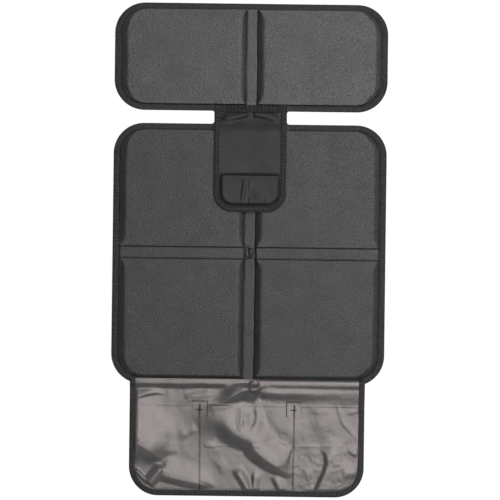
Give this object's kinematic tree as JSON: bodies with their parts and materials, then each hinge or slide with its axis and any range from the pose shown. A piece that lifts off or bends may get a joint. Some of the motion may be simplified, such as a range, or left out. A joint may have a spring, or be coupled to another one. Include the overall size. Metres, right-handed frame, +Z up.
{
  "type": "car seat protector",
  "caption": "Flat quilted car seat protector: padded seat and back panels on a neck, with an anchor flap and a limp nylon pocket sheet at the front.",
  "frame": {"origin": "under the middle of the whole protector, on the surface that it lies on", "axes": "+Z up, out of the padded face; +Y from the pocket sheet towards the back panel; +X to the right seen from above with the back panel at the top"},
  "size_m": [0.465, 0.839, 0.0142],
  "materials": {
    "cover_cloth": "coated polyester with a fine grain",
    "backing_cloth": "woven cloth with rubber grip dots",
    "pad_foam": "closed-cell foam",
    "binding_tape": "grosgrain ribbed tape",
    "flap_cloth": "matt plain-woven nylon",
    "pocket_nylon": "glossy coated nylon"
  },
  "bodies": {
    "root": {"back_cover": "cover_cloth", "seat_cover": "cover_cloth", "back_backing": "backing_cloth", "seat_backing": "backing_cloth", "back_foam_left": "pad_foam", "back_foam_right": "pad_foam", "rear_foam_left": "pad_foam", "rear_foam_right": "pad_foam", "front_foam_left": "pad_foam", "front_foam_right": "pad_foam", "back_binding": "binding_tape", "seat_binding": "binding_tape", "flap_binding": "binding_tape", "flap_header_tape": "binding_tape", "pocket_binding": "binding_tape", "neck_web": "flap_cloth", "flap_body": "flap_cloth", "flap_pocket": "flap_cloth", "pocket_back_layer": "pocket_nylon", "pocket_front_layer": "pocket_nylon", "patch_left": "pocket_nylon", "patch_right": "pocket_nylon"}
  },
  "joints": []
}
